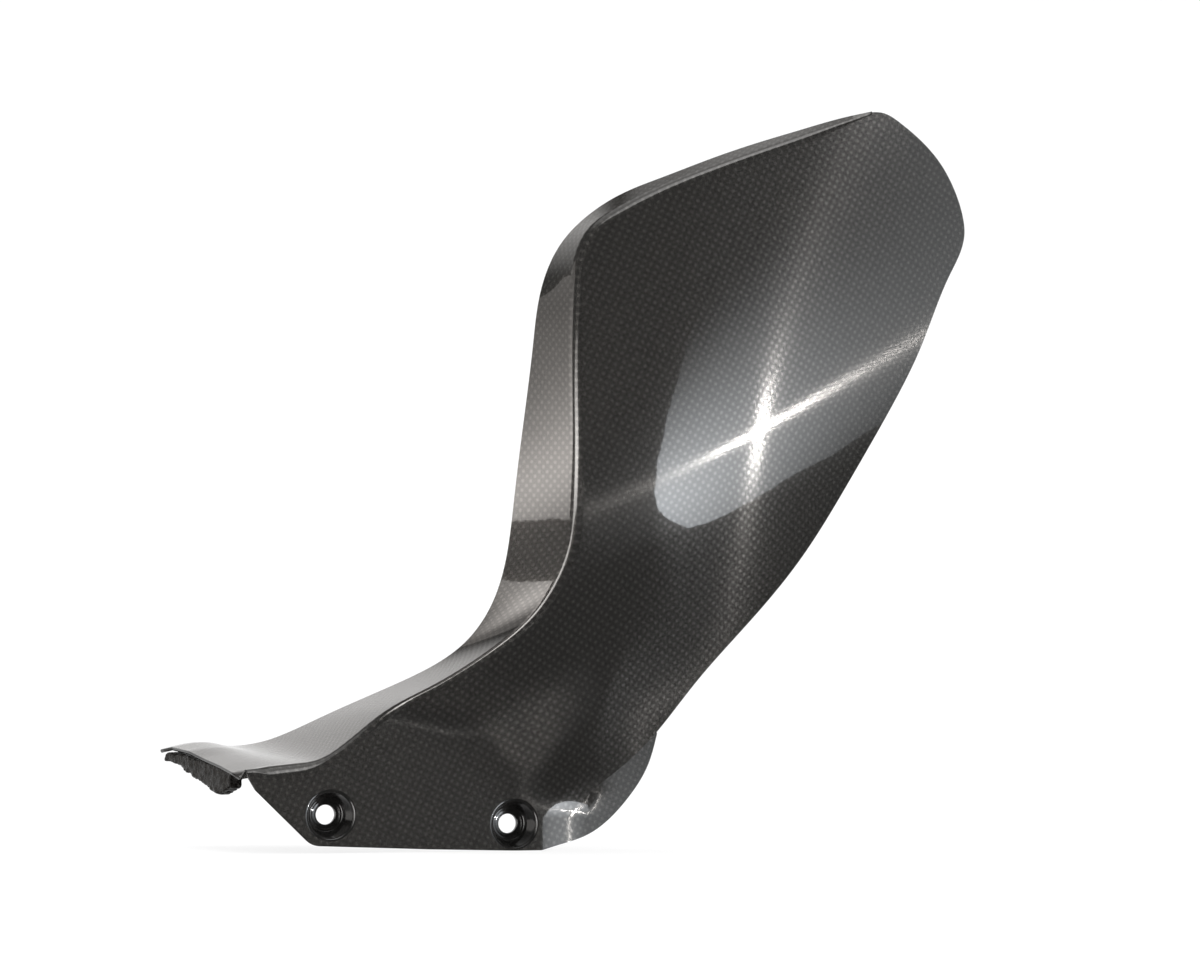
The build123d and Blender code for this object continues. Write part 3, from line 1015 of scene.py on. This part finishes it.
def area_lamp(name, place, target, size, watts, glossy=False):
    """A square lamp that faces its target; only a glossy one shows in reflections."""
    data = bpy.data.lights.new(name, "AREA")
    data.size = size
    data.energy = watts
    lamp = bpy.data.objects.new(name, data)
    lamp.location = place
    lamp.rotation_euler = (Vector(target) - Vector(place)).to_track_quat("-Z", "Y").to_euler()
    lamp.visible_camera = False
    lamp.visible_glossy = glossy
    bpy.context.scene.collection.objects.link(lamp)


def studio_world():
    """White to the camera; in reflections a white sweep behind the object and a dim room in front."""
    world = bpy.data.worlds.new("studio")
    bpy.context.scene.world = world
    nodes = Nodes(world)
    way = nodes.add("ShaderNodeTexCoord").outputs["Generated"]
    split = nodes.add("ShaderNodeSeparateXYZ", {0: way})
    to_left = nodes.math("MULTIPLY", split.outputs[0], -1.0)
    behind = nodes.ramp(split.outputs[1], 0.62, 0.92, 0.0, 1.0, "SMOOTHSTEP")
    left = nodes.ramp(to_left, 0.15, 0.75, 0.0, 1.0, "SMOOTHSTEP")
    above = nodes.ramp(split.outputs[2], 0.75, 0.90, 0.0, 1.0, "SMOOTHSTEP")
    room = nodes.math("MULTIPLY_ADD", left, 0.06, 0.035)
    reflected = nodes.blend(nodes.math("MAXIMUM", behind, above), room, 0.95)
    path = nodes.add("ShaderNodeLightPath")
    level = nodes.blend(path.outputs["Is Camera Ray"], reflected, 1.0)
    lit = nodes.blend(path.outputs["Is Diffuse Ray"], level, 0.8)
    background = nodes.add("ShaderNodeBackground", {"Color": (1, 1, 1, 1), "Strength": lit})
    nodes.add("ShaderNodeOutputWorld", {"Surface": background.outputs[0]})


def floor_and_sweep():
    """A pale floor that rises into a backdrop far behind the object."""
    ground = cad_low[2]
    profile = [(FLOOR_FRONT, 0.0), (SWEEP_START, 0.0)]
    for k in range(1, SWEEP_STEPS + 1):
        angle = math.pi / 2 * k / SWEEP_STEPS
        profile.append((SWEEP_START + SWEEP_RADIUS * math.sin(angle), SWEEP_RADIUS * (1 - math.cos(angle))))
    profile.append((SWEEP_START + SWEEP_RADIUS, SWEEP_TOP))
    points = []
    faces = []
    for y, z in profile:
        points += [(-FLOOR_SIDE, y, ground + z), (FLOOR_SIDE, y, ground + z)]
    for k in range(len(profile) - 1):
        faces.append((2 * k, 2 * k + 1, 2 * k + 3, 2 * k + 2))
    mesh = bpy.data.meshes.new("floor")
    mesh.from_pydata(points, [], faces)
    mesh.polygons.foreach_set("use_smooth", [True] * len(faces))
    material = bpy.data.materials.new("pale_floor")
    nodes = Nodes(material)
    path = nodes.add("ShaderNodeLightPath")
    diffuse = nodes.add("ShaderNodeBsdfDiffuse", {"Color": (0.90, 0.90, 0.905, 1)})
    glow = nodes.add("ShaderNodeEmission", {"Color": (1, 1, 1, 1), "Strength": 1.09})
    share = nodes.math("MULTIPLY", path.outputs["Is Camera Ray"], 0.72)
    mix = nodes.add("ShaderNodeMixShader", {0: share, 1: diffuse.outputs[0], 2: glow.outputs[0]})
    nodes.add("ShaderNodeOutputMaterial", {"Surface": mix.outputs[0]})
    mesh.materials.append(material)
    floor = bpy.data.objects.new("floor", mesh)
    bpy.context.scene.collection.objects.link(floor)
    floor.visible_glossy = False
    floor.visible_shadow = False


# outline of the right-hand softbox, metres; its lower left corner is well rounded
SOFTBOX = [
    (0.395, -1.431, 0.592), (0.476, -1.424, 0.524), (0.536, -1.422, 0.424), (0.546, -1.426, 0.352),
    (0.563, -1.425, 0.247), (0.605, -1.403, 0.066), (0.651, -1.348, -0.149), (0.711, -1.229, -0.405),
    (0.761, -1.103, -0.578), (0.812, -0.990, -0.682), (0.886, -0.889, -0.730), (0.974, -0.786, -0.748),
    (1.050, -0.731, -0.720), (1.140, -0.679, -0.664), (1.243, -0.613, -0.586), (1.331, -0.547, -0.510),
    (1.402, -0.466, -0.457), (1.470, -0.400, -0.380), (1.480, -0.420, 0.500), (0.700, -1.300, 0.900),
]


# cards round the object: name, corners and brightest point as directions from its middle,
# brightest and faintest strength, the distance between them, and tint
CARDS = [
    ("softbox_left",
     [(-78, -48), (-78, -20), (-78, 10), (-82, 26), (-112, 32), (-132, 26), (-134, -10), (-120, -48)],
     (-88, -8), (8.0, 0.8), 1.0, (1.0, 0.96, 0.93)),
    ("edge_line",
     [(-58, -34), (-33, -34), (-30, -5), (-31, 18), (-48, 18), (-58, 4)],
     (-47, -16), (14.0, 1.2), 1.1, (1.0, 0.98, 0.96)),
    ("softbox_top",
     [(-40, 46), (38, 46), (60, 72), (-60, 72)],
     (0, 58), (4.0, 1.5), 1.2, (1.0, 1.0, 1.0)),
]


def lights():
    """The softboxes, which only reflections show, and three lamps, of which only the key is reflected."""
    glow_card("softbox_right", SOFTBOX, (0.80, -1.02, -0.66), (9.5, 0.03), 1.12, (0.90, 0.95, 1.0))
    for name, corners, bright, strengths, reach, tint in CARDS:
        outline = [OBJECT_MIDDLE + direction(*corner) * CARD_DISTANCE for corner in corners]
        bright_at = OBJECT_MIDDLE + direction(*bright) * CARD_DISTANCE
        glow_card(name, outline, bright_at, strengths, reach, tint)
    hot = HIGHLIGHT_POINT + direction(49, -21) * KEY_DISTANCE
    area_lamp("key", hot, HIGHLIGHT_POINT, 0.03, 13.0, glossy=True)
    area_lamp("top", OBJECT_MIDDLE + direction(-10, 75) * LAMP_DISTANCE, OBJECT_MIDDLE, 1.4, 11.0)
    area_lamp("left", OBJECT_MIDDLE + direction(-75, 25) * LAMP_DISTANCE, OBJECT_MIDDLE, 1.0, 7.0)


def camera():
    """The photograph's view: 19 degrees round from the flange's face, looking up by 5 degrees."""
    turn, rise = math.radians(CAMERA_TURN), math.radians(CAMERA_RISE)
    data = bpy.data.cameras.new("camera")
    data.lens = 85.0
    data.sensor_width = 36.0
    data.clip_start = 0.05
    eye = bpy.data.objects.new("camera", data)
    look = Vector((math.sin(turn) * math.cos(rise), math.cos(turn) * math.cos(rise), -math.sin(rise)))
    right = Vector((math.cos(turn), -math.sin(turn), 0.0))
    up = right.cross(look)
    facing = Matrix((right, up, -look)).transposed()
    eye.matrix_world = Matrix.Translation(CAMERA_PLACE) @ facing.to_4x4()
    bpy.context.scene.collection.objects.link(eye)
    bpy.context.scene.camera = eye


# ---------------------------------------------------------------- scene

carbon = lacquered_carbon("carbon_lacquered")
carbon_inside = lacquered_carbon("carbon_inside", lightness=1.5, coat_roughness=0.12)
black = gloss_black("black_gloss")
shell = make_shell([carbon, carbon_inside, black, black])
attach(shell, "root")
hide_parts("mudguard_shell")

bracket = make_bracket(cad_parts["front_bracket"], rough_carbon("carbon_rough"))
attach(bracket, "root")
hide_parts("front_bracket")

camera()
studio_world()
floor_and_sweep()
lights()
bpy.context.scene.view_settings.view_transform = "Standard"
